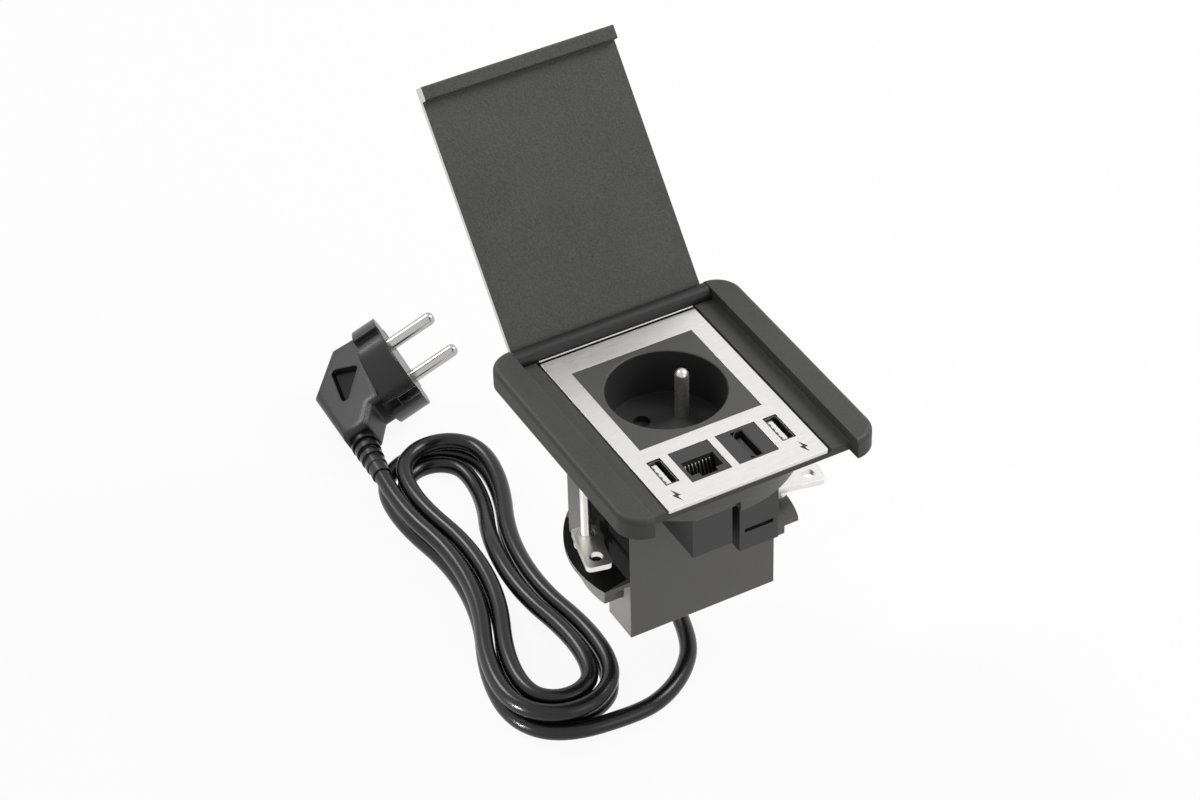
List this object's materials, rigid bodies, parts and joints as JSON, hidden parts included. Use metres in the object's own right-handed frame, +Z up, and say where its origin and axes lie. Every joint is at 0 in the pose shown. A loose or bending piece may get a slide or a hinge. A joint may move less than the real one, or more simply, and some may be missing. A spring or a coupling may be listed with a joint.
{
  "type": "flip-up desk socket",
  "caption": "Desk socket with a flip-up lid over a recessed earthed outlet, charging, network and video ports, screw clamps under the desk, and a mains lead with its plug.",
  "frame": {"origin": "centre of the round desk cut-out, on the desk's top face", "axes": "+Z up out of the desk, +Y towards the lid's hinge, +X along the front edge to the right"},
  "size_m": [0.1229, 0.2299, 0.1777],
  "materials": {
    "trim_paint": "satin",
    "lid_paint": "fine texture",
    "brushed_plate": "brushed",
    "insert_plastic": "fine texture",
    "housing_plastic": "satin",
    "module_plastic": "satin",
    "bright_steel": "polished",
    "zinc_steel": "zinc plated",
    "port_steel": "satin",
    "port_plastic": "satin",
    "contact_metal": "plated",
    "board": "satin",
    "winding_tape": "satin",
    "terminal_plastic": "satin",
    "cord_sheath": "glossy",
    "plug_plastic": "satin",
    "plug_nickel": "polished"
  },
  "bodies": {
    "base": {"frame": "trim_paint", "face_plate": "brushed_plate", "rear_strip": "brushed_plate", "hinge_pins": "bright_steel", "mount_ring": "housing_plastic", "socket_insert": "insert_plastic", "earth_pin": "plug_nickel", "socket_base": "insert_plastic", "contact_sleeves": "contact_metal", "usb_shells": "port_steel", "usb_tongues": "port_plastic", "usb_contacts": "contact_metal", "rj45_body": "module_plastic", "rj45_wires": "contact_metal", "hdmi_body": "module_plastic", "hdmi_shell": "port_steel", "hdmi_tongue": "module_plastic", "main_housing": "housing_plastic", "base_housing": "housing_plastic", "housing_screws": "zinc_steel", "supply_board": "board", "transformer": "winding_tape", "capacitors": "module_plastic", "terminal_block": "terminal_plastic", "cord_gland": "plug_plastic", "cord_lead": "cord_sheath", "cord_hank": "cord_sheath", "plug_body": "plug_plastic", "plug_relief": "plug_plastic", "plug_pins": "plug_nickel", "plug_clips": "plug_nickel"},
    "lid": {"lid": "lid_paint"},
    "shutter": {"shutter": "insert_plastic"},
    "screw_left": {"clamp_screw_left": "zinc_steel", "clamp_clip_left": "zinc_steel"},
    "nut_left": {"claw_nut_left": "zinc_steel"},
    "claw_left": {"claw_left": "bright_steel"},
    "screw_right": {"clamp_screw_right": "zinc_steel", "clamp_clip_right": "zinc_steel"},
    "nut_right": {"claw_nut_right": "zinc_steel"},
    "claw_right": {"claw_right": "bright_steel"}
  },
  "joints": [
    {"name": "lid_hinge", "type": "hinge", "parent": "base", "child": "lid", "pos_m": [0, 0.04565, 0.004], "axis": [1, 0, 0], "range_deg": [0, 130.3]},
    {"name": "shutter_slide", "type": "slide", "parent": "base", "child": "shutter", "axis": [-0.866, -0.5, 0], "range_m": [0, 0.007], "stiffness_N_per_m": 30, "springref_m": -0.002},
    {"name": "screw_left_spin", "type": "hinge", "parent": "base", "child": "screw_left", "pos_m": [-0.0346, 0.002, -0.02], "axis": [0, 0, -1], "range_deg": [-4565, 14765]},
    {"name": "nut_left_rise", "type": "slide", "parent": "base", "child": "nut_left", "axis": [0, 0, 1], "range_m": [-0.0076, 0.0246]},
    {"name": "claw_left_swing", "type": "hinge", "parent": "nut_left", "child": "claw_left", "pos_m": [-0.0346, 0.002, -0.039], "axis": [0, 0, -1], "range_deg": [-22, 89]},
    {"name": "screw_right_spin", "type": "hinge", "parent": "base", "child": "screw_right", "pos_m": [0.0346, -0.002, -0.02], "axis": [0, 0, -1], "range_deg": [-1565, 17765]},
    {"name": "nut_right_rise", "type": "slide", "parent": "base", "child": "nut_right", "axis": [0, 0, 1], "range_m": [-0.0026, 0.0296]},
    {"name": "claw_right_swing", "type": "hinge", "parent": "nut_right", "child": "claw_right", "pos_m": [0.0346, -0.002, -0.044], "axis": [0, 0, -1], "range_deg": [-111, 0]}
  ],
  "couplings": [
    {"joint": "screw_left_spin", "follows": "nut_left_rise", "rad_per_m": 10472},
    {"joint": "screw_right_spin", "follows": "nut_right_rise", "rad_per_m": 10472}
  ]
}
